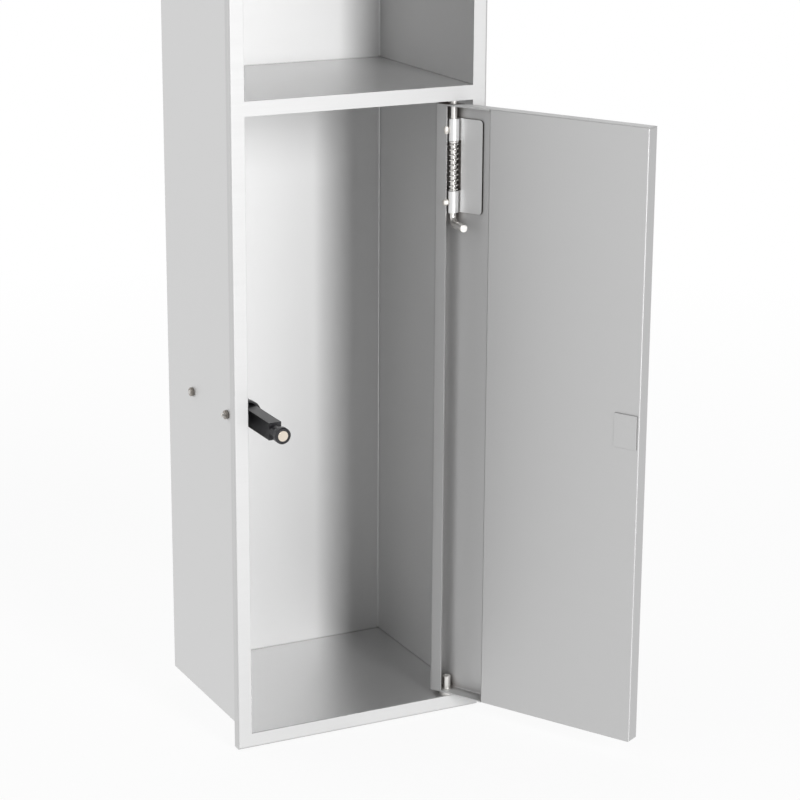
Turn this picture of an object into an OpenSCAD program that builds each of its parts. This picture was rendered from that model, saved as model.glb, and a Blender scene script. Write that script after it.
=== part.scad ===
// Recessed toilet paper holder of folded stainless sheet, with a brush compartment behind a hinged door.
// The origin is on the wall surface, at the middle of the front frame's lower edge.
// X runs to the right, Y into the wall and Z up. The door is drawn standing open.

/* [Front frame and housing] */
// Clear width of both openings
opening_w = 150; // [145:1:170]
// Clear height of the door opening
door_open_h = 387; // [360:1:420]
// Height of the bar between door opening and roll niche
crossbar_h = 9; // [9:0.5:16]
// Clear height of the roll niche
niche_h = 204; // [190:1:260]
// Width of the visible frame round the openings
frame_w = 9.5; // [8.5:0.5:14]
// How far the front face stands off the wall
rim_d = 5; // [4.5:0.5:8]
// Rounding of the frame's four outer corners
frame_corner_r = 1.5; // [1:0.25:3]
// Sheet thickness of frame and housing
sheet = 1.2; // [1:0.1:1.5]
// Depth from the front face to the back wall
inner_depth = 127.5; // [124:0.5:150]
// Inner radius of the bends in the housing
bend_r = 1; // [0.5:0.25:2]
// Width of the welding lips behind the frame
lip_w = 5; // [3:0.5:6]

/* [Divider shelf] */
// Depth of the return under the crossbar, which carries the upper bush
shelf_return_d = 22; // [16:1:30]
// Height of the lips along the walls
shelf_lip_h = 8; // [5:0.5:12]
// Length of the side lips
shelf_side_lip_w = 80; // [40:1:90]
// Distance of the side lips from the return under the crossbar
shelf_lip_gap = 8; // [2:1:10]

/* [Door] */
// Gap between door and opening at each side
door_side_gap = 1; // [0.8:0.1:1.6]
// Gap above the door
door_top_gap = 2.2; // [1.5:0.1:3]
// Gap below the door
door_bottom_gap = 2.5; // [2:0.1:3.5]
// Sheet thickness of the door
door_sheet = 1; // [0.8:0.1:1.2]
// Depth of the door
door_d = 10.75; // [10.25:0.25:12]
// Width of the lip that is folded in along the hinge return
hinge_lip_w = 8.9; // [6:0.1:9.2]
// Outer radius of the door's bends
door_bend_r = 2; // [1.5:0.25:2.25]
// Rounding of the door's four corners
door_corner_r = 1.2; // [0.8:0.1:1.5]
// Distance of the hinge axis from the door's hinge edge
hinge_inset = 9.8; // [9.4:0.1:10.2]
// How far the door stands open
door_open_angle = 119; // [100:1:120]

/* [Door cover and striker] */
// Width of the open hinge channel inside the door
channel_w = 39.5; // [32:0.5:50]
// Rounding of the cover's edges
cover_edge_r = 0.8; // [0.3:0.1:0.8]
// Distance of the striker plate from the door's free edge
striker_inset = 1.4; // [1:0.1:3]
// Width of the striker plate
striker_w = 15.5; // [12:0.5:18]
// Height of the striker plate
striker_h = 21; // [16:0.5:30]
// Thickness of the striker plate
striker_t = 0.8; // [0.5:0.1:1.2]

/* [Spring bolt] */
// Radius of the bolt rod
rod_r = 2.5; // [2.2:0.1:2.6]
// How deep the rod goes into its bush
rod_grip = 6.5; // [5:0.5:7]
// Wall of the rolled knuckles
knuckle_wall = 1.35; // [1.2:0.05:1.5]
// Height of each knuckle
knuckle_h = 13.5; // [10:0.5:16]
// Height of the leaf
leaf_h = 58; // [52:1:70]
// Distance of the leaf's top from the door's top
leaf_drop = 9.1; // [6:0.1:14]
// Width of the leaf from the bolt's axis
leaf_w = 19.6; // [14:0.2:24]
// Thickness of the leaf
leaf_t = 1.2; // [0.8:0.1:1.5]
// Rounding of the leaf's free corners
leaf_corner_r = 2.2; // [1:0.2:4]
// Length of the bolt's bent handle from the axis
handle_len = 18; // [14:0.5:24]
// Centre of the handle below the leaf
handle_drop = 6.8; // [6:0.2:10]
// Centre line radius of the handle's bend
handle_bend_r = 5; // [4:0.5:5.5]
// Angle between the handle and the door's face
handle_angle = 33; // [20:1:60]
// Radius of the round weld bead beside the lower knuckle
bead_r = 2.3; // [1.8:0.1:2.6]
// Radius of the long weld bead beside the upper knuckle
long_bead_r = 1.7; // [1.6:0.1:2.2]
// Length of the long weld bead
long_bead_len = 6; // [5.5:0.5:9]
// Thickness of the clip that holds the spring
clip_t = 0.9; // [0.6:0.1:1.2]

/* [Springs] */
// Turns of the bolt spring
bolt_spring_turns = 8.5; // [6:0.5:10]
// Wire radius of the bolt spring
bolt_spring_wire_r = 0.44; // [0.36:0.02:0.46]
// Turns of the latch spring
latch_spring_turns = 12; // [8:0.5:14]
// Wire radius of the latch spring
latch_spring_wire_r = 0.4; // [0.3:0.05:0.5]
// Turns of the roller spring
roller_spring_turns = 6; // [4:0.5:8]
// Wire radius of the roller spring
roller_spring_wire_r = 0.5; // [0.4:0.05:0.55]

/* [Lower pivot] */
// Radius of the lower pivot pin
pivot_r = 2.5; // [2:0.1:2.5]
// How far the pin stands above the door's lower return
pivot_rise = 9; // [6:0.5:12]
// Radius of the pin's collar on the floor
pivot_collar_r = 4.5; // [3.5:0.1:4.6]
// Radius of the bush in the door's lower return
pivot_bush_r = 3.1; // [3:0.1:3.3]
// How far the bush stands above the return
pivot_bush_rise = 0.2; // [0.2:0.1:1]

/* [Push latch] */
// Height of the latch above the compartment's floor
latch_h = 199.5; // [100:0.5:280]
// Distance of the plunger's axis from the side wall
latch_off = 11.2; // [11.1:0.1:13]
// Distance of the latch's front from the front face
latch_front = 25.5; // [22:0.5:34]
// Length of the latch housing
latch_len = 66.5; // [62:0.5:76]
// Outer radius of the latch housing's collar
latch_r = 8.2; // [8:0.1:8.4]
// Thickness of the latch's base plate
latch_base_t = 2.7; // [2.4:0.1:2.8]
// Height of the latch's base plate
latch_base_h = 18; // [14:0.5:24]
// Length of the front collar
collar_len = 4; // [3:0.5:6]
// Width of the plunger bar
bar_w = 8; // [6:0.2:8.2]
// Height of the plunger bar
bar_h = 10.8; // [9:0.2:10.8]
// Length of the plunger bar
bar_len = 52; // [48:0.5:60]
// How far the plunger's face stands in front of the front face
plunger_reach = 26.5; // [20:0.5:30]
// Length of the tip's neck and head together
tip_len = 12; // [9:0.5:13]
// Length of the tip's head
tip_head_len = 4.4; // [3.5:0.1:5]
// Radius of the tip's head
tip_head_r = 5.1; // [4.8:0.1:5.6]
// Radius of the tip's neck
tip_neck_r = 4.1; // [3:0.1:4.4]
// Radius of the magnet
magnet_r = 3.2; // [2.8:0.1:3.4]
// Thickness of the magnet
magnet_t = 3; // [2:0.1:3.2]

/* [Latch screws] */
// Distance between the two screws
screw_pitch = 56; // [50:1:58]
// Distance of the front screw from the latch's front
screw_front = 4.5; // [4:0.5:6]
// Radius of the screws
screw_r = 1.25; // [1.25:0.25:1.5]
// How far the front screw stands out of its nut
screw_front_out = 1.8; // [0.2:0.2:4]
// How far the rear screw stands out of its nut
screw_rear_out = 0.4; // [0.2:0.2:4]
// Width across the flats of the nuts
nut_af = 5; // [5:0.5:5.5]
// Height of the nuts
nut_h = 2; // [1.6:0.1:2.4]

/* [Roll holder] */
// Height of the roller's axis above the shelf
roller_h = 100; // [90:1:120]
// Distance of the roller's axis from the front face
roller_in = 60; // [55:1:64]
// Outer radius of the roller's larger tube
roller_r = 11; // [10.5:0.25:13]
// Wall of both tubes
roller_wall = 1.2; // [1:0.1:1.5]
// Length of the larger tube
roller_outer_len = 84.5; // [75:0.5:95]
// Length of the smaller tube
roller_inner_len = 104.5; // [95:0.5:110]
// Radius of the roller's end pins
roller_pin_r = 5; // [4:0.25:6]
// Radius of the sockets on the side walls
socket_r = 11; // [9:0.5:14]
// How far the sockets stand out of the walls
socket_len = 5; // [4:0.5:7]
// Depth of the sockets' holes
socket_depth = 4; // [3:0.5:4]

/* [Clearances] */
// Radial clearance of pins, rods and tubes that turn or slide
run_fit = 0.06; // [0.03:0.01:0.08]
// Clearance between faces that meet at rest
rest_gap = 0.3; // [0.2:0.05:0.4]
// Clearance of the plunger bar's corners in its bore
bar_fit = 0.2; // [0.15:0.05:0.25]
// Radial clearance of the screws in their holes
screw_fit = 0.15; // [0.1:0.05:0.3]

/* [Hidden] */
$fn = 48;

// Frame and housing
half_w = opening_w / 2;
outer_w = opening_w + 2 * frame_w;
door_open_z = frame_w;
crossbar_z = door_open_z + door_open_h;
shelf_z = crossbar_z + crossbar_h;
niche_top_z = shelf_z + niche_h;
outer_h = niche_top_z + frame_w;
front_y = -rim_d;
plate_back_y = front_y + sheet;
back_y = front_y + inner_depth;
wall_out_x = half_w + sheet;

// Door, measured from the hinge axis with the door shut
door_w = opening_w - 2 * door_side_gap;
door_z = door_open_z + door_bottom_gap;
door_top_z = crossbar_z - door_top_gap;
door_h = door_top_z - door_z;
knuckle_r = rod_r + run_fit + knuckle_wall;
axis_d = door_sheet + knuckle_r;
axis_x = half_w - door_side_gap - hinge_inset;
axis_y = front_y + axis_d;
face_y = -axis_d;
door_in_y = face_y + door_sheet;
rim_y = face_y + door_d;
free_x = hinge_inset - door_w;
cover_x = hinge_inset - channel_w;
lip_x = hinge_inset - hinge_lip_w;
plate_y = rim_y - door_sheet;
weld_x = lip_x + 0.7;
weld_y = rim_y - 0.8;
weld_gap = 0.02;

// Bolt
leaf_top_z = door_top_z - leaf_drop;
leaf_z = leaf_top_z - leaf_h;
lower_knuckle_top_z = leaf_z + knuckle_h;
upper_knuckle_z = leaf_top_z - knuckle_h;
bolt_top_z = crossbar_z + rod_grip;
rod_chamfer = rod_r / 4;
handle_z = leaf_z - handle_drop;
clip_z = upper_knuckle_z - rest_gap - clip_t;
bush_r = rod_r + run_fit + 0.8;
bush_flange_r = bush_r + 1.4;
bush_flange_t = 1;
bush_len = rod_grip + 0.5;

// Bolt spring
bolt_spring_r = knuckle_r - bolt_spring_wire_r - 0.1;
bolt_spring_z = lower_knuckle_top_z + 0.05 + bolt_spring_wire_r;
bolt_spring_h = clip_z - 0.05 - bolt_spring_wire_r - bolt_spring_z;

// Push latch
latch_x = -half_w + latch_off;
latch_z = door_open_z + latch_h;
latch_y = front_y + latch_front;
latch_end_y = latch_y + latch_len;
latch_bore_r = norm([bar_w, bar_h]) / 2 + bar_fit;
barrel_r = latch_r - 0.3;
end_cap_t = 2;
base_top_x = -half_w + latch_base_t;
foot_h = 12;
plunger_face_y = front_y - plunger_reach;
bar_front_y = plunger_face_y + tip_len;
bar_back_y = bar_front_y + bar_len;
plunger_travel = plunger_reach + door_d + striker_t + rest_gap;
screw_ys = [latch_y + screw_front, latch_y + screw_front + screw_pitch];
screw_outs = [screw_front_out, screw_rear_out];
screw_head_r = 2.4;
screw_head_t = 1.4;
latch_spring_r = 5;
latch_spring_y = bar_back_y + 0.1 + latch_spring_wire_r;
latch_spring_len = latch_end_y - end_cap_t - 0.1 - latch_spring_wire_r - latch_spring_y;

// Roll holder
roller_y = front_y + roller_in;
roller_z = shelf_z + roller_h;
roller_end_x = half_w - socket_len - 0.5;
roller_pin_x = half_w - socket_len + socket_depth - rest_gap;
roller_bore_r = roller_r - roller_wall;
roller_inner_r = roller_bore_r - run_fit;
roller_end_t = 2;
socket_bevel = 0.8;
roller_inner_x = roller_end_x - roller_inner_len;
roller_spring_r = roller_inner_r - roller_wall / 2;
roller_spring_x = -roller_end_x + roller_end_t + 0.1 + roller_spring_wire_r;
roller_spring_len = roller_inner_x - 0.1 - roller_spring_wire_r - roller_spring_x;

steel = [0.84, 0.85, 0.86];
steel_inside = [0.74, 0.75, 0.76];
steel_door = [0.70, 0.71, 0.72];
steel_bright = [0.90, 0.91, 0.92];
steel_nut = [0.55, 0.53, 0.52];
black = [0.13, 0.13, 0.14];
magnet_grey = [0.80, 0.77, 0.73];

// Outlines

// A rectangle from the origin with its two corners at y = 0 rounded
module bent_outline(w, d, r) {
  translate([r, 0]) square([w - 2 * r, d]);
  translate([0, r]) square([w, d - r]);
  for (x = [r, w - r])
    translate([x, r]) circle(r = r);
}

// A rectangle from the origin with all four corners rounded
module round_outline(w, h, r) {
  translate([r, 0]) square([w - 2 * r, h]);
  translate([0, r]) square([w, h - 2 * r]);
  for (x = [r, w - r], y = [r, h - r])
    translate([x, y]) circle(r = r);
}

// Carries a child that was drawn upright in XY into the XZ plane, pushed d along +Y
module along_y(d) {
  translate([0, d, 0]) rotate([90, 0, 0]) linear_extrude(height = d) children();
}

// Carries a child that was drawn in YZ along +X for l
module along_x(l) {
  rotate([90, 0, 90]) linear_extrude(height = l) children();
}

// A block whose front edges are bent round on all four sides, front at y = 0
module bent_block(w, h, d, r) {
  intersection() {
    linear_extrude(height = h) bent_outline(w, d, r);
    along_x(w) rotate([0, 0, 90]) mirror([0, 1]) bent_outline(h, d, r);
  }
}

// A sheet tray with its face at y = 0 and its returns running to y = d
module bent_tray(w, h, d, t, r) {
  difference() {
    bent_block(w, h, d, r);
    translate([t, t, t]) bent_block(w - 2 * t, h - 2 * t, d, r - t);
  }
}

// Springs

function coil_centre(r, len, turns, k, n) =
  [r * cos(360 * turns * k / n), r * sin(360 * turns * k / n), len * k / n];

function coil_ring(r, len, turns, wire, k, n) =
  [for (i = [0:5])
    let (c = coil_centre(r + wire * cos(60 * i), len, turns, k, n))
    [c[0], c[1], c[2] + wire * sin(60 * i)]];

function coil_steps(turns) = ceil(turns * 8);

function coil_gap(r, len, turns, wire) =
  let (n = coil_steps(turns))
  min([for (i = [0:n - 6], j = [i + 6:n])
    norm(coil_centre(r, len, turns, i, n) - coil_centre(r, len, turns, j, n))]) - 2 * wire;

// One unbroken wound tube from z = 0 to z = len
module coil(r, len, turns, wire) {
  n = coil_steps(turns);
  points = [for (k = [0:n]) each coil_ring(r, len, turns, wire, k, n)];
  sides = [for (k = [0:n - 1], i = [0:5]) let (j = (i + 1) % 6) each
    [[6 * k + i, 6 * k + 6 + i, 6 * k + j], [6 * k + j, 6 * k + 6 + i, 6 * k + 6 + j]]];
  first = [for (i = [1:4]) [0, i, i + 1]];
  last = [for (i = [1:4]) [6 * n, 6 * n + i + 1, 6 * n + i]];
  polyhedron(points = points, faces = concat(sides, first, last));
}

echo(bolt_spring_least_gap =
  coil_gap(bolt_spring_r, bolt_spring_h, bolt_spring_turns, bolt_spring_wire_r));
echo(latch_spring_least_gap =
  coil_gap(latch_spring_r, latch_spring_len, latch_spring_turns, latch_spring_wire_r));
echo(roller_spring_least_gap =
  coil_gap(roller_spring_r, roller_spring_len, roller_spring_turns, roller_spring_wire_r));

// Places

// Puts a child that is drawn round the hinge axis, with the door shut, where the open door has it
module on_door() {
  translate([axis_x, axis_y, 0]) rotate([0, 0, door_open_angle]) children();
}

// Turns a child that stands along +Z so that it lies along +Y on the latch's axis
module on_latch() {
  translate([latch_x, 0, latch_z]) rotate([-90, 0, 0]) children();
}

// Turns a child that stands along +Z so that it lies along +X on the roller's axis
module on_roller() {
  translate([0, roller_y, roller_z]) rotate([0, 90, 0]) children();
}

// Housing

// The front plate with two windows, its outer edges folded back to the wall
module front_frame() {
  color(steel)
  difference() {
    intersection() {
      translate([-outer_w / 2, front_y, 0]) bent_tray(outer_w, outer_h, rim_d, sheet, sheet + 0.3);
      translate([-outer_w / 2, front_y, 0]) along_y(rim_d) round_outline(outer_w, outer_h, frame_corner_r);
    }
    translate([-half_w, front_y - 1, door_open_z]) cube([opening_w, sheet + 2, door_open_h]);
    translate([-half_w, front_y - 1, shelf_z]) cube([opening_w, sheet + 2, niche_h]);
  }
}

// The inside of the housing seen from above, from the back wall forward by d
module housing_inside(d = inner_depth - sheet) {
  translate([-half_w, back_y]) mirror([0, 1]) bent_outline(opening_w, d, bend_r);
}

// One sheet bent round left wall, back and right wall, with welding lips behind the frame
module housing_wrap() {
  wrap_z = door_open_z - sheet;
  wrap_h = niche_top_z + sheet - wrap_z;
  color(steel_inside)
  difference() {
    union() {
      translate([-wall_out_x, back_y + sheet, wrap_z]) mirror([0, 1, 0])
        linear_extrude(height = wrap_h)
          bent_outline(2 * wall_out_x, inner_depth, bend_r + sheet);
      for (side = [-1, 1])
        translate([side * (wall_out_x + lip_w / 2) - lip_w / 2, plate_back_y, wrap_z])
          cube([lip_w, sheet, wrap_h]);
    }
    translate([0, 0, wrap_z - 1]) linear_extrude(height = wrap_h + 2) housing_inside(inner_depth);
    for (y = screw_ys)
      translate([-half_w + 1, y, latch_z]) rotate([0, -90, 0])
        cylinder(r = screw_r + screw_fit, h = sheet + 2);
  }
}

// The compartment's floor, with its lip turned down behind the frame
module floor_panel() {
  color(steel_inside)
  difference() {
    union() {
      translate([0, 0, door_open_z - sheet]) linear_extrude(height = sheet) housing_inside();
      translate([-half_w, plate_back_y, door_open_z - lip_w]) cube([opening_w, sheet, lip_w]);
    }
    translate([axis_x, axis_y, door_open_z - sheet - 1]) cylinder(r = pivot_r, h = sheet + 2);
  }
}

// The niche's ceiling, with its lip turned up behind the frame
module top_panel() {
  color(steel_inside) {
    translate([0, 0, niche_top_z]) linear_extrude(height = sheet) housing_inside();
    translate([-half_w, plate_back_y, niche_top_z]) cube([opening_w, sheet, lip_w]);
  }
}

// The shelf between niche and compartment, folded down and back behind the crossbar
module divider_shelf() {
  notch_w = 2 * (bush_flange_r + rest_gap);
  color(steel)
  difference() {
    union() {
      translate([0, 0, shelf_z - sheet]) linear_extrude(height = sheet) housing_inside();
      translate([-half_w, plate_back_y, crossbar_z]) cube([opening_w, sheet, crossbar_h]);
      translate([-half_w, plate_back_y, crossbar_z]) cube([opening_w, shelf_return_d, sheet]);
      translate([bend_r - half_w, back_y - sheet, shelf_z - shelf_lip_h])
        cube([opening_w - 2 * bend_r, sheet, shelf_lip_h]);
      for (x = [-half_w, half_w - sheet])
        translate([x, plate_back_y + shelf_return_d + shelf_lip_gap, shelf_z - shelf_lip_h])
          cube([sheet, shelf_side_lip_w, shelf_lip_h]);
    }
    translate([axis_x, axis_y, crossbar_z - 1]) cylinder(r = bush_r, h = sheet + 2);
    translate([axis_x - notch_w / 2, plate_back_y - 1, crossbar_z + sheet])
      cube([notch_w, sheet + 1, crossbar_h - 2 * sheet]);
  }
}

// The flanged bush under the shelf that takes the bolt's end, its flange cut flat behind the frame plate
module upper_bush() {
  color(steel_bright)
  translate([axis_x, axis_y, crossbar_z])
    difference() {
      union() {
        cylinder(r = bush_r, h = bush_len);
        translate([0, 0, sheet]) intersection() {
          cylinder(r = bush_flange_r, h = bush_flange_t);
          translate([-bush_flange_r, plate_back_y - axis_y, 0])
            cube([2 * bush_flange_r, 2 * bush_flange_r, bush_flange_t]);
        }
      }
      translate([0, 0, -1]) cylinder(r = rod_r + run_fit, h = bush_len + 2);
    }
}

// The pin that carries the door, welded into the floor, with a collar and a dished end
module lower_pivot_pin() {
  pin_top = door_z + door_sheet + pivot_rise;
  color(steel_bright)
  translate([axis_x, axis_y, 0])
    rotate_extrude()
      polygon([[0, door_open_z - sheet], [pivot_r, door_open_z - sheet], [pivot_r, door_open_z],
        [pivot_collar_r, door_open_z], [pivot_collar_r, door_z - rest_gap],
        [pivot_r, door_z - rest_gap], [pivot_r, pin_top - 0.6], [pivot_r - 0.6, pin_top],
        [pivot_r - 1, pin_top], [0, pin_top - 0.9]]);
}

// Push latch

// The latch's mounting plate on the side wall, countersunk for its two screws
module latch_base() {
  color(black)
  translate([base_top_x, latch_y, latch_z])
    difference() {
      translate([-latch_base_t, 0, -latch_base_h / 2]) cube([latch_base_t, latch_len, latch_base_h]);
      for (y = screw_ys)
        translate([0, y - latch_y, 0]) rotate([0, -90, 0]) {
          translate([0, 0, -1]) cylinder(r = screw_r + screw_fit, h = latch_base_t + 2);
          cylinder(r1 = screw_head_r, r2 = screw_r, h = screw_head_t);
          translate([0, 0, -1]) cylinder(r = screw_head_r, h = 1);
        }
    }
}

// The round barrel with the foot that seats it on the mounting plate
module latch_housing() {
  color(black)
  difference() {
    union() {
      on_latch() translate([0, 0, latch_y + collar_len])
        cylinder(r = barrel_r, h = latch_len - collar_len - end_cap_t);
      translate([base_top_x, latch_y + collar_len, latch_z - foot_h / 2])
        cube([latch_off - latch_base_t, latch_len - collar_len - end_cap_t, foot_h]);
    }
    on_latch() translate([0, 0, latch_y]) cylinder(r = latch_bore_r, h = latch_len);
  }
}

// The front collar, whose round bore guides the plunger bar by its corners
module latch_collar() {
  color(black)
  on_latch() translate([0, 0, latch_y])
    difference() {
      cylinder(r = latch_r, h = collar_len);
      translate([0, 0, -1]) cylinder(r = latch_bore_r, h = collar_len + 2);
    }
}

// The cap that closes the barrel and backs the spring
module latch_end_cap() {
  color(black)
  on_latch() translate([0, 0, latch_end_y - end_cap_t]) cylinder(r = latch_r, h = end_cap_t);
}

// Two countersunk screws through the mounting plate and the side wall
module latch_screws() {
  color(steel_bright)
  for (i = [0, 1])
    translate([base_top_x, screw_ys[i], latch_z]) rotate([0, -90, 0]) {
      cylinder(r1 = screw_head_r, r2 = screw_r, h = screw_head_t);
      cylinder(r = screw_r, h = latch_base_t + sheet + nut_h + screw_outs[i]);
    }
}

// Two hexagon nuts on the outside of the side wall
module latch_nuts() {
  color(steel_nut)
  for (y = screw_ys)
    translate([-wall_out_x, y, latch_z]) rotate([0, -90, 0])
      difference() {
        cylinder(r = nut_af / 2 / cos(30), h = nut_h, $fn = 6);
        translate([0, 0, -1]) cylinder(r = screw_r, h = nut_h + 2);
      }
}

// The spring that drives the plunger out
module latch_spring() {
  color(steel_bright)
  on_latch() translate([0, 0, latch_spring_y])
    coil(latch_spring_r, latch_spring_len, latch_spring_turns, latch_spring_wire_r);
}

// The flat-sided plunger bar
module latch_plunger() {
  color(black)
  translate([latch_x - bar_w / 2, bar_front_y, latch_z - bar_h / 2]) cube([bar_w, bar_len, bar_h]);
}

// The round tip: a neck and a head with the magnet's pocket
module latch_tip() {
  pocket_t = magnet_t + 0.2;
  color(black)
  on_latch() translate([0, 0, plunger_face_y])
    difference() {
      rotate_extrude()
        polygon([[0, 0], [tip_head_r - 0.6, 0], [tip_head_r, 0.6], [tip_head_r, tip_head_len - 0.6],
          [tip_head_r - 0.6, tip_head_len], [tip_neck_r, tip_head_len], [tip_neck_r, tip_len], [0, tip_len]]);
      translate([0, 0, -1]) cylinder(r = magnet_r, h = pocket_t + 1);
      translate([0, 0, -1]) cylinder(r = magnet_r + 0.7, h = 1.3);
    }
}

// The round magnet in the tip's pocket
module latch_magnet() {
  color(magnet_grey)
  on_latch() translate([0, 0, plunger_face_y + 0.2]) cylinder(r = magnet_r, h = magnet_t);
}

// Door

// The door's outline, pushed d deep from y
module door_outline(y, d) {
  translate([free_x, y, door_z]) along_y(d) round_outline(door_w, door_h, door_corner_r);
}

// The door's face sheet with four folded returns, the hinge return with a lip folded in
module door_pan() {
  color(steel_door)
  on_door() difference() {
    intersection() {
      union() {
        translate([free_x, face_y, door_z]) bent_tray(door_w, door_h, door_d, door_sheet, door_bend_r);
        translate([lip_x, plate_y, door_z]) cube([hinge_lip_w, door_sheet, door_h]);
      }
      door_outline(face_y, door_d);
    }
    translate([free_x - 1, plate_y, door_z - 1]) cube([cover_x - free_x + 1, door_sheet + 1, door_h + 2]);
    translate([hinge_inset - door_bend_r, rim_y - door_bend_r, door_z - 1]) difference() {
      cube([door_bend_r + 1, door_bend_r + 1, door_h + 2]);
      translate([0, 0, -1]) cylinder(r = door_bend_r, h = door_h + 4);
    }
    translate([0, 0, door_top_z - door_sheet - 1]) cylinder(r = rod_r + run_fit, h = door_sheet + 2);
    translate([0, 0, door_z - 1]) cylinder(r = pivot_bush_r, h = door_sheet + 2);
  }
}

// The inner cover on the door's returns, stepped down to the face sheet along the hinge channel
module door_cover() {
  cover_w = cover_x - free_x;
  color(steel_door)
  on_door() {
    intersection() {
      translate([free_x, rim_y, door_z]) mirror([0, 1, 0])
        bent_block(cover_w, door_h, door_sheet, cover_edge_r);
      door_outline(plate_y, door_sheet);
    }
    translate([cover_x - door_sheet, door_in_y, door_z + door_bend_r])
      cube([door_sheet, door_d - 2 * door_sheet, door_h - 2 * door_bend_r]);
  }
}

// The steel plate that the magnet holds
module striker_plate() {
  color(steel_door)
  on_door() translate([free_x + striker_inset, rim_y, latch_z - striker_h / 2 + 2])
    cube([striker_w, striker_t, striker_h]);
}

// The leaf with two rolled knuckles that guide the bolt
module bolt_leaf() {
  color(steel_door)
  on_door() difference() {
    union() {
      translate([-leaf_w, door_in_y, leaf_z]) along_y(leaf_t) {
        translate([leaf_corner_r, 0]) square([leaf_w - leaf_corner_r, leaf_h]);
        translate([0, leaf_corner_r]) square([leaf_w, leaf_h - 2 * leaf_corner_r]);
        for (z = [leaf_corner_r, leaf_h - leaf_corner_r])
          translate([leaf_corner_r, z]) circle(r = leaf_corner_r);
      }
      for (z = [leaf_z, upper_knuckle_z])
        translate([0, 0, z]) cylinder(r = knuckle_r, h = knuckle_h);
    }
    translate([0, 0, leaf_z - 1]) cylinder(r = rod_r + run_fit, h = leaf_h + 2);
    translate([-knuckle_r - 0.4, door_in_y - 1, lower_knuckle_top_z])
      cube([2 * knuckle_r, leaf_t + 2, upper_knuckle_z - lower_knuckle_top_z]);
  }
}

// A round and a long weld bead between the knuckles and the edge of the door's hinge lip
module weld_beads() {
  cut_h = leaf_h + 2 * bead_r;
  color(steel_bright)
  on_door() difference() {
    translate([weld_x, weld_y, 0]) {
      translate([0, 0, leaf_z + knuckle_h / 2]) sphere(r = bead_r);
      translate([0, 0, upper_knuckle_z + knuckle_h / 2]) {
        translate([0, 0, long_bead_r - long_bead_len / 2])
          cylinder(r = long_bead_r, h = long_bead_len - 2 * long_bead_r);
        for (side = [-1, 1])
          translate([0, 0, side * (long_bead_len / 2 - long_bead_r)]) sphere(r = long_bead_r);
      }
    }
    translate([lip_x - weld_gap, rim_y + weld_gap - 2 * bead_r, leaf_z - bead_r])
      cube([2 * bead_r, 2 * bead_r, cut_h]);
    translate([0, 0, leaf_z - bead_r]) rotate([0, 0, 180]) cylinder(r = knuckle_r, h = cut_h);
  }
}

// The bush of the lower pivot, in the door's lower return
module lower_pivot_bush() {
  bush_h = door_sheet + pivot_bush_rise;
  color(steel_bright)
  on_door() translate([0, 0, door_z])
    difference() {
      cylinder(r = pivot_bush_r, h = bush_h);
      translate([0, 0, -1]) cylinder(r = pivot_r + run_fit, h = bush_h + 2);
    }
}

// Spring bolt

// The rod: a chamfered end, the straight run through both knuckles, and the bent handle
module spring_bolt() {
  color(steel_bright)
  on_door() {
    translate([0, 0, bolt_top_z - rod_chamfer])
      cylinder(r1 = rod_r, r2 = rod_r - rod_chamfer, h = rod_chamfer);
    translate([0, 0, handle_z + handle_bend_r])
      cylinder(r = rod_r, h = bolt_top_z - rod_chamfer - handle_z - handle_bend_r);
    rotate([0, 0, 180 - handle_angle]) {
      translate([handle_bend_r, 0, handle_z + handle_bend_r]) rotate([90, 0, 0])
        rotate([0, 0, 180]) rotate_extrude(angle = 90) translate([handle_bend_r, 0]) circle(r = rod_r);
      translate([handle_bend_r, 0, handle_z]) rotate([0, 90, 0])
        cylinder(r = rod_r, h = handle_len - handle_bend_r - rod_chamfer / 2);
      translate([handle_len - rod_chamfer / 2, 0, handle_z]) rotate([0, 90, 0])
        cylinder(r1 = rod_r, r2 = rod_r - rod_chamfer / 2, h = rod_chamfer / 2);
    }
  }
}

// The clip on the rod under the upper knuckle, which the spring pushes
module bolt_clip() {
  color(steel_bright)
  on_door() translate([0, 0, clip_z])
    difference() {
      cylinder(r = knuckle_r - rest_gap, h = clip_t);
      translate([0, 0, -1]) cylinder(r = rod_r, h = clip_t + 2);
    }
}

// The spring between the lower knuckle and the clip
module bolt_spring() {
  color(steel_bright)
  on_door() translate([0, 0, bolt_spring_z])
    coil(bolt_spring_r, bolt_spring_h, bolt_spring_turns, bolt_spring_wire_r);
}

// Roll holder

// A socket boss on a side wall, its hole open towards +X
module socket() {
  on_roller() translate([0, 0, -half_w])
    difference() {
      rotate_extrude()
        polygon([[0, 0], [socket_r, 0], [socket_r, socket_len - socket_bevel],
          [socket_r - socket_bevel, socket_len], [0, socket_len]]);
      translate([0, 0, socket_len - socket_depth]) cylinder(r = roller_pin_r + run_fit, h = socket_depth + 1);
    }
}

module socket_left() {
  color(steel) socket();
}

module socket_right() {
  color(steel) mirror([1, 0, 0]) socket();
}

// A closed tube end with its pin, drawn from the pin's face at z = 0 upwards
module roller_tube(r, len) {
  pin_len = roller_pin_x - roller_end_x;
  difference() {
    rotate_extrude()
      polygon([[0, 0], [roller_pin_r - 0.8, 0], [roller_pin_r, 0.8], [roller_pin_r, pin_len],
        [r - 1, pin_len], [r, pin_len + 1], [r, pin_len + len], [0, pin_len + len]]);
    translate([0, 0, pin_len + roller_end_t]) cylinder(r = r - roller_wall, h = len);
  }
}

// The larger tube, whose pin sits in the left socket
module roller_outer_tube() {
  color(steel_bright)
  on_roller() translate([0, 0, -roller_pin_x]) roller_tube(roller_r, roller_outer_len);
}

// The smaller tube, whose pin sits in the right socket
module roller_inner_tube() {
  color(steel_bright)
  on_roller() translate([0, 0, roller_pin_x]) rotate([180, 0, 0])
    roller_tube(roller_inner_r, roller_inner_len);
}

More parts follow.
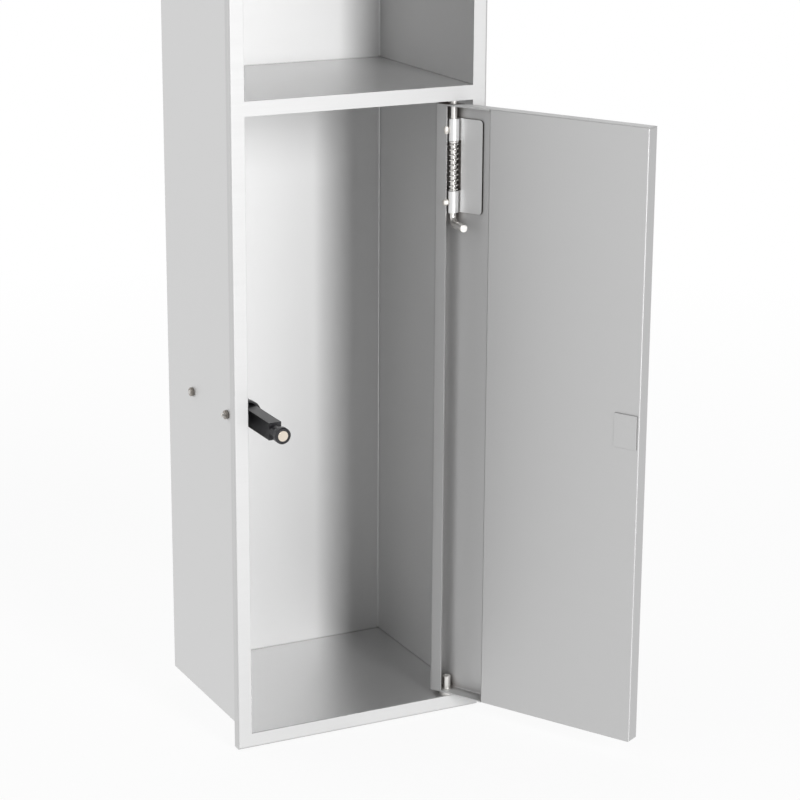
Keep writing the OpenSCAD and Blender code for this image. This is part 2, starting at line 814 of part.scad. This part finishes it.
// The spring inside the larger tube that pushes the smaller one out
module roller_spring() {
  color(steel_bright)
  on_roller() translate([0, 0, roller_spring_x])
    coil(roller_spring_r, roller_spring_len, roller_spring_turns, roller_spring_wire_r);
}

front_frame();
housing_wrap();
floor_panel();
top_panel();
divider_shelf();
upper_bush();
lower_pivot_pin();
latch_base();
latch_housing();
latch_collar();
latch_end_cap();
latch_screws();
latch_nuts();
latch_spring();
latch_plunger();
latch_tip();
latch_magnet();
door_pan();
door_cover();
striker_plate();
bolt_leaf();
weld_beads();
lower_pivot_bush();
spring_bolt();
bolt_clip();
bolt_spring();
socket_left();
socket_right();
roller_outer_tube();
roller_inner_tube();
roller_spring();
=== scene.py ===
import math

import bmesh
import bpy
from mathutils import Euler, Matrix, Vector, noise


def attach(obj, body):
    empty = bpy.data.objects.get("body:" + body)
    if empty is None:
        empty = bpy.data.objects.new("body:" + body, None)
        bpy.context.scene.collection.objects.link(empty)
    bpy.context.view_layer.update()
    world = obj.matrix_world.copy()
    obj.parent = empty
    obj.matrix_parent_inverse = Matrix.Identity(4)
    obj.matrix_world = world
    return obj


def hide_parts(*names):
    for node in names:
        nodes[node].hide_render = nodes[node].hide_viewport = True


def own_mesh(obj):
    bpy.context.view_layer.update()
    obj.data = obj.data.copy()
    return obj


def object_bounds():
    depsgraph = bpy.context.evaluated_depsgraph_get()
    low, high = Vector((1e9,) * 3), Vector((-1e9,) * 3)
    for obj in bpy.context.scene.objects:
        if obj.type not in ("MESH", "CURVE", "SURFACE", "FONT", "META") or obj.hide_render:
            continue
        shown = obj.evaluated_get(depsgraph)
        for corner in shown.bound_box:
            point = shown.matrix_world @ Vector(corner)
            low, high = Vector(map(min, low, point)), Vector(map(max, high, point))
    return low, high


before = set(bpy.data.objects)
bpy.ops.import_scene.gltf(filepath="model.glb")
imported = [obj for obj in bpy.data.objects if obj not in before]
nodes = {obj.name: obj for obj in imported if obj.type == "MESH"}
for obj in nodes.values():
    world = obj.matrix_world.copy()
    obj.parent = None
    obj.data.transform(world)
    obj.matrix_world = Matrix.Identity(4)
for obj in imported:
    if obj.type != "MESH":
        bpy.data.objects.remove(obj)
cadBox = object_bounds()  # measured before anything is added
scene = bpy.context.scene
scene.view_settings.view_transform = "Standard"
print("stage: frame loaded,", len(nodes), "nodes")

# Small tools


def hexToLinear(code):
    channels = [int(code[i:i + 2], 16) / 255 for i in (1, 3, 5)]
    return [c / 12.92 if c <= 0.04045 else ((c + 0.055) / 1.055) ** 2.4 for c in channels] + [1.0]


def addNode(tree, kind, settings=None, links=None):
    node = tree.nodes.new(kind)
    for key, value in (settings or {}).items():
        if isinstance(key, int) or key in node.inputs:
            node.inputs[key].default_value = value
        else:
            setattr(node, key, value)
    for key, socket in (links or {}).items():
        tree.links.new(socket, node.inputs[key])
    return node


def newMaterial(name):
    material = bpy.data.materials.new(name)
    material.use_nodes = True
    material.node_tree.nodes.clear()
    return material, material.node_tree


def meshObject(name, vertices, faces, material, sharpAngle=180):
    mesh = bpy.data.meshes.new(name)
    mesh.from_pydata(vertices, [], faces)
    mesh.materials.append(material)
    mesh.validate()
    mesh.shade_smooth()
    mesh.set_sharp_from_angle(angle=math.radians(sharpAngle))
    piece = bpy.data.objects.new(name, mesh)
    scene.collection.objects.link(piece)
    return piece


# Materials

# Stainless sheet 304, ground with a fine belt: pale neutral grey, a soft stretched reflection
brushed = {
    "colour": "#E2E2E2",
    "colourLow": "#DDDDDD",
    "roughness": 0.55,
    "roughnessSpread": 0.03,
    "stretch": 0.45,  # how much wider the reflection spreads across the grain than along it
    "grainMm": 0.8,  # real scratches are about 0.05 mm wide, drawn coarser so that they show
    "grainLengthMm": 50,
    "grainDepthMm": 0.003,
    "waveMm": 140,  # slow waviness that thin sheet keeps after folding
    "waveDepthMm": 0.02,
    "edgeMm": 0.2,
    "creaseMm": 2.0,  # reach of the painted shade that darkens the colour in creases and between parts
    "creaseFrom": 0.15,
    "creaseTo": 0.75,
    "paintedCreaseShade": "#5A5652",
    "sheetWay": None,  # the way a plate's face looks, where its cut edges show
    "cutEdgePaintedShade": "#3A3632",  # painted shade on a plate's cut edges
}


# Paints shade on the edges of a plate that lies beyond cutFrom along cutWay, and leaves its faces as they
# are
def shadeCutEdges(tree, v, place, tint):
    facing = addNode(tree, "ShaderNodeVectorMath", {"operation": "DOT_PRODUCT", 1: v["sheetWay"]},
                     {0: place.outputs["Normal"]})
    flat = addNode(tree, "ShaderNodeMath", {"operation": "ABSOLUTE"}, {0: facing.outputs["Value"]})
    outwards = addNode(tree, "ShaderNodeVectorMath", {"operation": "DOT_PRODUCT", 1: v["cutWay"]},
                       {0: place.outputs["Object"]})
    knuckle = addNode(tree, "ShaderNodeMath", {"operation": "LESS_THAN", 1: v["cutFrom"]},
                      {0: outwards.outputs["Value"]})
    whole = addNode(tree, "ShaderNodeMath", {"operation": "MAXIMUM"},
                    {0: flat.outputs[0], 1: knuckle.outputs[0]})
    uncut = addNode(tree, "ShaderNodeMapRange", {"From Min": 0.4, "From Max": 0.7},
                    {"Value": whole.outputs[0]})
    return addNode(tree, "ShaderNodeMix", {"data_type": "RGBA", 6: hexToLinear(v["cutEdgePaintedShade"])},
                   {0: uncut.outputs[0], 7: tint.outputs[2]})


def brushedSteel(name, across, changes=None):
    v = {**brushed, **(changes or {})}
    material, tree = newMaterial(name)
    fine, long = 1000 / v["grainMm"], 1000 / v["grainLengthMm"]
    scale = [fine if axis in across else long for axis in "xyz"]
    place = addNode(tree, "ShaderNodeTexCoord")
    stretched = addNode(tree, "ShaderNodeMapping", {"Scale": scale}, {"Vector": place.outputs["Object"]})
    grain = addNode(tree, "ShaderNodeTexNoise", {"Scale": 1.0, "Detail": 3.0, "Roughness": 0.65},
                    {"Vector": stretched.outputs[0]})
    wave = addNode(tree, "ShaderNodeTexNoise", {"Scale": 1000 / v["waveMm"], "Detail": 1.0},
                   {"Vector": place.outputs["Object"]})
    tint = addNode(tree, "ShaderNodeMix", {"data_type": "RGBA", 6: hexToLinear(v["colourLow"]),
                                           7: hexToLinear(v["colour"])}, {0: grain.outputs["Fac"]})
    rough = addNode(tree, "ShaderNodeMapRange",
                    {"From Min": 0.3, "From Max": 0.7, "To Min": v["roughness"] - v["roughnessSpread"],
                     "To Max": v["roughness"] + v["roughnessSpread"]}, {"Value": grain.outputs["Fac"]})
    # Painted shade on the cut edges of a plate, where a sheetWay is given
    if v["sheetWay"]:
        tint = shadeCutEdges(tree, v, place, tint)
    # Painted shade: an occlusion test darkens the colour in creases and between parts, where shade falls
    crease = addNode(tree, "ShaderNodeAmbientOcclusion", {"samples": 8, "Distance": v["creaseMm"] / 1000})
    depth = addNode(tree, "ShaderNodeMapRange", {"From Min": v["creaseFrom"], "From Max": v["creaseTo"]},
                    {"Value": crease.outputs["AO"]})
    shaded = addNode(tree, "ShaderNodeMix", {"data_type": "RGBA", 6: hexToLinear(v["paintedCreaseShade"])},
                     {0: depth.outputs[0], 7: tint.outputs[2]})
    edge = addNode(tree, "ShaderNodeBevel", {"samples": 6, "Radius": v["edgeMm"] / 1000})
    waves = addNode(tree, "ShaderNodeBump", {"Strength": 1.0, "Distance": v["waveDepthMm"] / 1000},
                    {"Height": wave.outputs["Fac"], "Normal": edge.outputs[0]})
    scratches = addNode(tree, "ShaderNodeBump", {"Strength": 0.6, "Distance": v["grainDepthMm"] / 1000},
                        {"Height": grain.outputs["Fac"], "Normal": waves.outputs[0]})
    spreadWay = addNode(tree, "ShaderNodeCombineXYZ", {axis.upper(): 1.0 for axis in across[:1]})
    surface = addNode(tree, "ShaderNodeBsdfPrincipled", {"Metallic": 1.0, "Anisotropic": v["stretch"]},
                      {"Base Color": shaded.outputs[2], "Roughness": rough.outputs[0],
                       "Normal": scratches.outputs[0], "Tangent": spreadWay.outputs[0]})
    addNode(tree, "ShaderNodeOutputMaterial", None, {"Surface": surface.outputs[0]})
    return material


# Turned or drawn stainless: brighter than the sheet, with fine rings round its axis
turned = {
    "colour": "#E0DEDB",
    "colourLow": "#C9C7C4",
    "roughness": 0.22,
    "roughnessSpread": 0.06,
    "ringMm": 0.5,  # a real feed mark is 0.1 mm, drawn coarser so that it shows
    "ringDepthMm": 0.006,
    "aroundMm": 25,  # how far a ring keeps its tone round the axis
    "edgeMm": 0.15,
}


def turnedSteel(name, axis, changes=None):
    v = {**turned, **(changes or {})}
    material, tree = newMaterial(name)
    scale = [1000 / (v["ringMm"] if a == axis else v["aroundMm"]) for a in "xyz"]
    place = addNode(tree, "ShaderNodeTexCoord")
    stretched = addNode(tree, "ShaderNodeMapping", {"Scale": scale}, {"Vector": place.outputs["Object"]})
    rings = addNode(tree, "ShaderNodeTexNoise", {"Scale": 1.0, "Detail": 2.0},
                    {"Vector": stretched.outputs[0]})
    tint = addNode(tree, "ShaderNodeMix", {"data_type": "RGBA", 6: hexToLinear(v["colourLow"]),
                                           7: hexToLinear(v["colour"])}, {0: rings.outputs["Fac"]})
    rough = addNode(tree, "ShaderNodeMapRange",
                    {"From Min": 0.3, "From Max": 0.7, "To Min": v["roughness"] - v["roughnessSpread"],
                     "To Max": v["roughness"] + v["roughnessSpread"]}, {"Value": rings.outputs["Fac"]})
    edge = addNode(tree, "ShaderNodeBevel", {"samples": 6, "Radius": v["edgeMm"] / 1000})
    ridges = addNode(tree, "ShaderNodeBump", {"Strength": 0.6, "Distance": v["ringDepthMm"] / 1000},
                     {"Height": rings.outputs["Fac"], "Normal": edge.outputs[0]})
    surface = addNode(tree, "ShaderNodeBsdfPrincipled", {"Metallic": 1.0},
                      {"Base Color": tint.outputs[2], "Roughness": rough.outputs[0],
                       "Normal": ridges.outputs[0]})
    addNode(tree, "ShaderNodeOutputMaterial", None, {"Surface": surface.outputs[0]})
    return material


# Weld metal, as laid and brushed off: rippled, duller, with a trace of straw heat tint
weld = {"colour": "#F1EEE9", "tint": "#D9CDBB", "tintFrom": 0.5, "tintTo": 0.8, "tintShare": 0.5,
        "roughness": 0.55, "rippleMm": 0.9, "rippleDepthMm": 0.05}


def weldMetal(name):
    material, tree = newMaterial(name)
    place = addNode(tree, "ShaderNodeTexCoord")
    ripple = addNode(tree, "ShaderNodeTexNoise", {"Scale": 1000 / weld["rippleMm"], "Detail": 3.0},
                     {"Vector": place.outputs["Object"]})
    spread = addNode(tree, "ShaderNodeMapRange", {"From Min": weld["tintFrom"], "From Max": weld["tintTo"],
                                                  "To Min": 0.0, "To Max": weld["tintShare"]},
                     {"Value": ripple.outputs["Fac"]})
    tint = addNode(tree, "ShaderNodeMix", {"data_type": "RGBA", 6: hexToLinear(weld["colour"]),
                                           7: hexToLinear(weld["tint"])}, {0: spread.outputs[0]})
    lumps = addNode(tree, "ShaderNodeBump", {"Strength": 0.8, "Distance": weld["rippleDepthMm"] / 1000},
                    {"Height": ripple.outputs["Fac"]})
    surface = addNode(tree, "ShaderNodeBsdfPrincipled", {"Metallic": 1.0, "Roughness": weld["roughness"]},
                      {"Base Color": tint.outputs[2], "Normal": lumps.outputs[0]})
    addNode(tree, "ShaderNodeOutputMaterial", None, {"Surface": surface.outputs[0]})
    return material


# Moulded acetal, black: a fine eroded satin that turns grey where it faces the light
acetal = {"colour": "#17171A", "worn": "#26262A", "roughness": 0.36, "ior": 1.48, "grainMm": 0.35,
          "grainDepthMm": 0.01, "flowScale": 90.0, "edgeMm": 0.3}


def mouldedAcetal(name):
    material, tree = newMaterial(name)
    place = addNode(tree, "ShaderNodeTexCoord")
    grain = addNode(tree, "ShaderNodeTexNoise", {"Scale": 1000 / acetal["grainMm"], "Detail": 2.0},
                    {"Vector": place.outputs["Object"]})
    flow = addNode(tree, "ShaderNodeTexNoise", {"Scale": acetal["flowScale"], "Detail": 2.0},
                   {"Vector": place.outputs["Object"]})
    tint = addNode(tree, "ShaderNodeMix", {"data_type": "RGBA", 6: hexToLinear(acetal["colour"]),
                                           7: hexToLinear(acetal["worn"])}, {0: flow.outputs["Fac"]})
    edge = addNode(tree, "ShaderNodeBevel", {"samples": 6, "Radius": acetal["edgeMm"] / 1000})
    pits = addNode(tree, "ShaderNodeBump", {"Strength": 0.5, "Distance": acetal["grainDepthMm"] / 1000},
                   {"Height": grain.outputs["Fac"], "Normal": edge.outputs[0]})
    surface = addNode(tree, "ShaderNodeBsdfPrincipled",
                      {"Roughness": acetal["roughness"], "IOR": acetal["ior"]},
                      {"Base Color": tint.outputs[2], "Normal": pits.outputs[0]})
    addNode(tree, "ShaderNodeOutputMaterial", None, {"Surface": surface.outputs[0]})
    return material


# The same sheet gets a different base colour per part only to set how bright each part looks under these
# lamps: painted light and shade
frameSteel = brushedSteel("Stainless sheet, belt ground, frame", "z",
                          {"colour": "#D1D1D1", "colourLow": "#CDCDCD", "roughness": 0.62})
wallSteel = brushedSteel("Stainless sheet, belt ground, housing", "z",
                         {"colour": "#D7D7D7", "colourLow": "#D2D2D2"})
panelSteel = brushedSteel("Stainless sheet, belt ground, panels", "yz",
                          {"colour": "#E4E4E4", "colourLow": "#DFDFDF", "roughness": 0.42})
coverSteel = brushedSteel("Stainless sheet, belt ground, cover", "z",
                          {"colour": "#CECECE", "colourLow": "#C9C9C9"})
# In the pan the painted shade reaches further and is brown: it darkens the channel's corners and the places
# round the rod and pin
panSteel = brushedSteel("Stainless sheet, belt ground, door pan", "z",
                        {"colour": "#D4D4D4", "colourLow": "#CFCFCF", "roughness": 0.62, "creaseMm": 8,
                         "creaseFrom": 0.0, "creaseTo": 0.75, "paintedCreaseShade": "#5E5048"})
leafSteel = brushedSteel("Stainless sheet, mill finish, leaf", "z",
                         {"roughness": 0.5, "stretch": 0.2, "grainDepthMm": 0.002, "edgeMm": 0.1,
                          "sheetWay": (-0.8746, -0.4848, 0), "cutWay": (0.4848, -0.8746, 0),
                          "cutFrom": 0.0367})  # metres along cutWay, just past the knuckles
boltSteel = turnedSteel("Stainless bar, turned, upright", "z", {"roughness": 0.38, "ringDepthMm": 0.003})
pinSteel = turnedSteel("Stainless pin, tumbled", "z",
                       {"colour": "#E8E6E3", "colourLow": "#DEDCD9", "roughness": 0.45,
                        "roughnessSpread": 0.03, "ringDepthMm": 0.001})
socketSteel = turnedSteel("Stainless bar, turned, sideways", "x")
tubeSteel = turnedSteel("Stainless tube, polished", "x", {"roughness": 0.12, "roughnessSpread": 0.03})
wireSteel = turnedSteel("Spring wire, drawn and bright", "z", {"roughness": 0.16, "ringMm": 4})
fastenerSteel = turnedSteel("Stainless screw, rolled thread", "x", {"colour": "#D5D2CE", "roughness": 0.3})
nutSteel = turnedSteel("Stainless nut, tumbled", "x",
                       {"colour": "#A9A39C", "colourLow": "#8F8983", "roughness": 0.36})
magnetNickel = turnedSteel("Magnet, nickel plated", "y",
                           {"colour": "#E2D9CC", "colourLow": "#D3C8BA", "roughness": 0.3})
weldSteel = weldMetal("Weld metal, brushed off")
blackAcetal = mouldedAcetal("Acetal, black, moulded")

finishes = {
    "front_frame": frameSteel,
    "housing_wrap": wallSteel,
    "floor_panel": panelSteel,
    "top_panel": panelSteel,
    "divider_shelf": panelSteel,
    "upper_bush": boltSteel,
    "lower_pivot_pin": pinSteel,
    "latch_base": blackAcetal,
    "latch_housing": blackAcetal,
    "latch_collar": blackAcetal,
    "latch_end_cap": blackAcetal,
    "latch_screws": fastenerSteel,
    "latch_nuts": nutSteel,
    "latch_spring": wireSteel,
    "latch_plunger": blackAcetal,
    "latch_tip": blackAcetal,
    "latch_magnet": magnetNickel,
    "door_pan": panSteel,
    "door_cover": coverSteel,
    "striker_plate": coverSteel,
    "bolt_leaf": leafSteel,
    "weld_beads": weldSteel,
    "lower_pivot_bush": pinSteel,
    "spring_bolt": boltSteel,
    "bolt_clip": boltSteel,
    "bolt_spring": wireSteel,
    "socket_left": socketSteel,
    "socket_right": socketSteel,
    "roller_outer_tube": tubeSteel,
    "roller_inner_tube": tubeSteel,
    "roller_spring": wireSteel,
}
for nodeName, material in finishes.items():
    for slot in nodes[nodeName].material_slots:
        slot.material = material
print("stage: materials on", len(finishes), "nodes")

# Springs: an open coil whose two ends lie closed, turn on turn

coilValues = {"stepsPerTurn": 20, "wireSides": 10,
              "closedTurns": 0.8,  # at each end
              "closedPitch": 2.1}  # in wire radii, so that closed turns just clear each other


def springPiece(name, values, material):
    wire, turns = values["wire"] / 1000, values["turns"]
    radius, length = values["radius"] / 1000, values["length"] / 1000
    steps, sides = int(turns * coilValues["stepsPerTurn"]), coilValues["wireSides"]
    closed, closedPitch = coilValues["closedTurns"], coilValues["closedPitch"] * wire
    openLength = length - 2 * closed * closedPitch
    vertices, faces = [], []
    for k in range(steps + 1):
        turn = turns * k / steps
        openShare = min(max((turn - closed) / (turns - 2 * closed), 0), 1)
        closedSoFar = min(turn, closed) + closed - min(turns - turn, closed)
        z = closedPitch * closedSoFar + openLength * openShare
        angle = 2 * math.pi * turn
        outward = Vector((math.cos(angle), math.sin(angle), 0))
        centre = outward * radius + Vector((0, 0, z))
        for i in range(sides):
            a = 2 * math.pi * i / sides
            vertices.append(centre + outward * wire * math.cos(a) + Vector((0, 0, wire * math.sin(a))))
    for k in range(steps):
        for i in range(sides):
            j = (i + 1) % sides
            faces.append([k * sides + i, (k + 1) * sides + i, (k + 1) * sides + j, k * sides + j])
    faces.append(list(range(sides)))
    faces.append([steps * sides + i for i in reversed(range(sides))])
    piece = meshObject(name, vertices, faces, material)
    piece.data.transform(values["place"])
    return piece


# The hinge axis, turned as far as the door stands open
doorPlace = Matrix.Translation((0.0642, -0.00009, 0)) @ Matrix.Rotation(math.radians(119), 4, "Z")
boltSpringValues = {"wire": 0.48, "radius": 3.34, "turns": 10, "length": 28.8,
                    "place": doorPlace @ Matrix.Translation((0, 0, 0.3412))}
boltSpring = springPiece("boltSpring", boltSpringValues, wireSteel)
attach(boltSpring, "door")
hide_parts("bolt_spring")
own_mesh(boltSpring)

latchSpringValues = {"wire": 0.4, "radius": 5, "turns": 12, "length": 51.5,
                     "place": Matrix.Translation((-0.0638, 0.033, 0.209))
                     @ Matrix.Rotation(math.radians(-90), 4, "X")}
latchSpring = springPiece("latchSpring", latchSpringValues, wireSteel)
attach(latchSpring, "cabinet")
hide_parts("latch_spring")
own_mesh(latchSpring)

rollerSpringValues = {"wire": 0.5, "radius": 9.14, "turns": 6, "length": 31.3,
                      "place": Matrix.Translation((-0.0669, 0.055, 0.5055))
                      @ Matrix.Rotation(math.radians(90), 4, "Y")}
rollerSpring = springPiece("rollerSpring", rollerSpringValues, wireSteel)
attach(rollerSpring, "roller_outer")
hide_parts("roller_spring")
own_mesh(rollerSpring)
print("stage: springs wound")

# Latch screws and nuts: M2.5 with a real thread on the end that stands out of the side wall

screwValues = {"radius": 1.25, "pitch": 0.45, "threadDepth": 0.27, "headRadius": 2.4, "headHeight": 1.4,
               "headEdge": 0.15, "wallFromHead": 3.9,
               "threadInWall": 1,  # how far the thread runs back into the side wall
               "stepsPerPitch": 8, "around": 32,
               "places": [((-0.0723, 0.025, 0.209), 1.8), ((-0.0723, 0.081, 0.209), 0.4)]}
nutValues = {"flats": 5.0, "height": 2.0, "bore": screwValues["radius"],
             "rimShare": 0.95,  # of the flats, where the turned chamfer starts
             "chamferAngle": 30, "around": 96}
outOfWall = Matrix.Rotation(math.radians(-90), 4, "Y")  # turns +Z so that it points out of the left wall


def addRings(vertices, faces, rings, place, closed=False):
    first, around = len(vertices), len(rings[0])
    vertices.extend(place @ Vector(point) for ring in rings for point in ring)
    for k in range(len(rings) - 1):
        low = first + k * around
        for i in range(around):
            j = (i + 1) % around
            faces.append([low + i, low + j, low + around + j, low + around + i])
    if closed:
        faces.append([first + i for i in reversed(range(around))])
        faces.append([first + (len(rings) - 1) * around + i for i in range(around)])


def ringPoint(r, angle, z):
    return (r * math.cos(angle) / 1000, r * math.sin(angle) / 1000, z / 1000)


def screwRings(values, standOut):
    radius, pitch, depth = values["radius"], values["pitch"], values["threadDepth"]
    headEdge, headHeight = values["headEdge"], values["headHeight"]
    end = values["wallFromHead"] + nutValues["height"] + standOut
    threadStart = values["wallFromHead"] - values["threadInWall"]
    perPitch = values["stepsPerPitch"]
    steps = range(1, int((end - threadStart) / pitch * perPitch))
    heights = [0, headEdge, headHeight, threadStart]
    heights += [threadStart + pitch / perPitch * k for k in steps] + [end]
    rings = []
    for z in heights:
        ring = []
        for i in range(values["around"]):
            if z <= headHeight:
                sunk = max(z - headEdge, 0) / (headHeight - headEdge)
                r = radius + (values["headRadius"] - radius) * (1 - sunk)
            elif z <= threadStart:
                r = radius
            else:
                turn = (z / pitch - i / values["around"]) % 1
                groove = min(1, max(0, 1.3 * (1 - abs(2 * turn - 1)) - 0.1))  # flat at crest and root
                r = radius - depth * groove
                r = min(r, radius - depth + (end - z) * 1.1)  # the chamfered end
            ring.append(ringPoint(r, 2 * math.pi * i / values["around"], z))
        rings.append(ring)
    return rings


def nutRings(values):
    flat, height, bore = values["flats"] / 2, values["height"], values["bore"]
    rim, slope = flat * values["rimShare"], math.tan(math.radians(values["chamferAngle"]))
    columns = []
    for i in range(values["around"]):
        angle = 2 * math.pi * i / values["around"]
        corner = flat / math.cos(math.radians((math.degrees(angle) % 60) - 30))
        drop = (corner - rim) * slope  # the turned chamfer leaves arcs on the flats
        steps = [(bore, 0), (rim, 0), (corner, drop), (corner, height - drop), (rim, height),
                 (bore + 0.25, height), (bore - 0.1, height - 0.35)]  # the last two countersink the bore
        columns.append([ringPoint(r, angle, z) for r, z in steps])
    return [list(ring) for ring in zip(*columns)]


screwVertices, screwFaces, nutVertices, nutFaces = [], [], [], []
for at, standOut in screwValues["places"]:
    place = Matrix.Translation(at) @ outOfWall
    addRings(screwVertices, screwFaces, screwRings(screwValues, standOut), place, closed=True)
    onWall = place @ Matrix.Translation((0, 0, screwValues["wallFromHead"] / 1000))
    addRings(nutVertices, nutFaces, nutRings(nutValues), onWall)
latchScrews = meshObject("latchScrews", screwVertices, screwFaces, fastenerSteel, 50)
latchNuts = meshObject("latchNuts", nutVertices, nutFaces, nutSteel, 25)
for piece, nodeName in ((latchScrews, "latch_screws"), (latchNuts, "latch_nuts")):
    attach(piece, "cabinet")
    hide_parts(nodeName)
print("stage: screws and nuts cut")

# Weld beads: two lumps laid between the lip of the hinge return and the knuckles

beadValues = {"places": [((1.6, 5.04, 333.95), (2.2, 2.2, 2.25)), ((1.6, 5.04, 378.45), (1.65, 1.65, 3.0))],
              "lumpMm": 1.6, "lumpHeight": 0.22, "lumpSink": 0.3, "seed": 7.3}


def layBeads(values):
    beads = bmesh.new()
    seed = Vector((values["seed"],) * 3)
    for centre, size in values["places"]:
        lump = bmesh.ops.create_icosphere(beads, subdivisions=5, radius=1.0)["verts"]
        for vertex in lump:
            way = vertex.co.normalized()
            point = Vector((way.x * size[0], way.y * size[1], way.z * size[2]))
            swell = noise.noise((point + Vector(centre)) / values["lumpMm"] + seed)
            point += way * (swell - values["lumpSink"]) * values["lumpHeight"]
            vertex.co = doorPlace @ ((point + Vector(centre)) / 1000)
    mesh = bpy.data.meshes.new("weldBeads")
    beads.to_mesh(mesh)
    beads.free()
    mesh.shade_smooth()
    mesh.materials.append(weldSteel)
    piece = bpy.data.objects.new("weldBeads", mesh)
    scene.collection.objects.link(piece)
    return piece


weldBeads = layBeads(beadValues)
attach(weldBeads, "door")
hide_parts("weld_beads")
print("stage: weld beads laid")

# Stage and light

stageValues = {"floorColour": "#F4F4F4", "floorSize": 60, "floorDrop": 0.0005,
               "backgroundStrength": 1.0,
               "behindFrom": 0.6, "behindTo": 0.9,  # the Y part of a reflection's way, +Y being behind
               "shadowShare": 0.1,  # of the floor as seen, near the object
               "shadowTo": 0.5, "whiteFrom": 1.3}  # metres from the object
# Three lit studio walls: the way to each and its strength; the room in front and overhead stays dark
studioWalls = {"left": ((-1, 0, 0), 1.16), "right": ((1, 0, 0), 0.6), "back": ((0, 1, 0), 1.05)}


def floorMaterial():
    material, tree = newMaterial("Studio floor, matt white")
    rays = addNode(tree, "ShaderNodeLightPath")
    seen = addNode(tree, "ShaderNodeMath", {"operation": "MAXIMUM"},
                   {0: rays.outputs["Is Camera Ray"], 1: rays.outputs["Is Glossy Ray"]})
    seenToo = addNode(tree, "ShaderNodeMath", {"operation": "MAXIMUM"},
                      {0: seen.outputs[0], 1: rays.outputs["Is Transmission Ray"]})
    place = addNode(tree, "ShaderNodeTexCoord")
    away = addNode(tree, "ShaderNodeVectorMath", {"operation": "LENGTH"}, {0: place.outputs["Object"]})
    level = addNode(tree, "ShaderNodeMapRange",
                    {"From Min": stageValues["shadowTo"], "From Max": stageValues["whiteFrom"],
                     "To Min": 1 - stageValues["shadowShare"]}, {"Value": away.outputs["Value"]})
    share = addNode(tree, "ShaderNodeMath", {"operation": "MULTIPLY"},
                    {0: seenToo.outputs[0], 1: level.outputs[0]})
    matt = addNode(tree, "ShaderNodeBsdfDiffuse", {"Color": hexToLinear(stageValues["floorColour"])})
    white = addNode(tree, "ShaderNodeEmission", {"Strength": stageValues["backgroundStrength"]})
    mixed = addNode(tree, "ShaderNodeMixShader", None,
                    {0: share.outputs[0], 1: matt.outputs[0], 2: white.outputs[0]})
    addNode(tree, "ShaderNodeOutputMaterial", None, {"Surface": mixed.outputs[0]})
    return material


half = stageValues["floorSize"] / 2
low = cadBox[0].z - stageValues["floorDrop"]
studioFloor = meshObject("studioFloor",
                         [(-half, -half, low), (half, -half, low), (half, half, low), (-half, half, low)],
                         [(0, 1, 2, 3)], floorMaterial())


def studioWorld():
    world = bpy.data.worlds.new("Studio")
    world.use_nodes = True
    tree = world.node_tree
    tree.nodes.clear()
    rays = addNode(tree, "ShaderNodeLightPath")
    direction = addNode(tree, "ShaderNodeTexCoord")
    studio = None
    for way, strength in studioWalls.values():
        facing = addNode(tree, "ShaderNodeVectorMath", {"operation": "DOT_PRODUCT", 1: way},
                         {0: direction.outputs["Generated"]})
        lobe = addNode(tree, "ShaderNodeMapRange",
                       {"interpolation_type": "SMOOTHSTEP", "From Max": 0.9, "To Max": strength},
                       {"Value": facing.outputs["Value"]})
        if studio:
            lobe = addNode(tree, "ShaderNodeMath", {"operation": "ADD"},
                           {0: studio.outputs[0], 1: lobe.outputs[0]})
        studio = lobe
    # Metal that faces the background shows the same white as the camera sees there
    split = addNode(tree, "ShaderNodeSeparateXYZ", None, {0: direction.outputs["Generated"]})
    behind = addNode(tree, "ShaderNodeMapRange",
                     {"interpolation_type": "SMOOTHSTEP", "From Min": stageValues["behindFrom"],
                      "From Max": stageValues["behindTo"]}, {"Value": split.outputs["Y"]})
    mirrored = addNode(tree, "ShaderNodeMath", {"operation": "MAXIMUM"},
                       {0: rays.outputs["Is Glossy Ray"], 1: rays.outputs["Is Transmission Ray"]})
    mirroredBehind = addNode(tree, "ShaderNodeMath", {"operation": "MULTIPLY"},
                             {0: mirrored.outputs[0], 1: behind.outputs[0]})
    seenWhite = addNode(tree, "ShaderNodeMath", {"operation": "MAXIMUM"},
                        {0: rays.outputs["Is Camera Ray"], 1: mirroredBehind.outputs[0]})
    level = addNode(tree, "ShaderNodeMix", {"data_type": "FLOAT", 3: stageValues["backgroundStrength"]},
                    {0: seenWhite.outputs[0], 2: studio.outputs[0]})
    sky = addNode(tree, "ShaderNodeBackground", {"Color": (1, 1, 1, 1)}, {"Strength": level.outputs[0]})
    addNode(tree, "ShaderNodeOutputWorld", None, {"Surface": sky.outputs[0]})
    return world


scene.world = studioWorld()

# One large softbox in front, a little to the right and above the object
keyValues = {"turn": 7.5, "rise": 13, "distance": 3.2, "aim": (0, 0, 0.3), "size": (0.75, 1.6), "power": 73}
keyLamp = bpy.data.lights.new("keyLamp", "AREA")
keyLamp.shape = "RECTANGLE"
keyLamp.size, keyLamp.size_y = keyValues["size"]
keyLamp.energy = keyValues["power"]
keyObject = bpy.data.objects.new("keyLamp", keyLamp)
turn, rise = math.radians(keyValues["turn"]), math.radians(keyValues["rise"])
away = Vector((math.sin(turn) * math.cos(rise), -math.cos(turn) * math.cos(rise), math.sin(rise)))
keyObject.location = Vector(keyValues["aim"]) + away * keyValues["distance"]
keyObject.rotation_euler = away.to_track_quat("Z", "Y").to_euler()
scene.collection.objects.link(keyObject)

# Camera

cameraValues = {"lens": 110.996, "sensor": 36, "place": (-0.62956, -1.31187, 0.63842),
                "turn": (73.7872, -0.3252, -26.5725)}
camera = bpy.data.cameras.new("photoCamera")
camera.lens = cameraValues["lens"]
camera.sensor_width = cameraValues["sensor"]
cameraObject = bpy.data.objects.new("photoCamera", camera)
cameraObject.location = cameraValues["place"]
cameraObject.rotation_euler = Euler([math.radians(a) for a in cameraValues["turn"]], "XYZ")
scene.collection.objects.link(cameraObject)
scene.camera = cameraObject
print("stage: floor, lamps and camera placed")
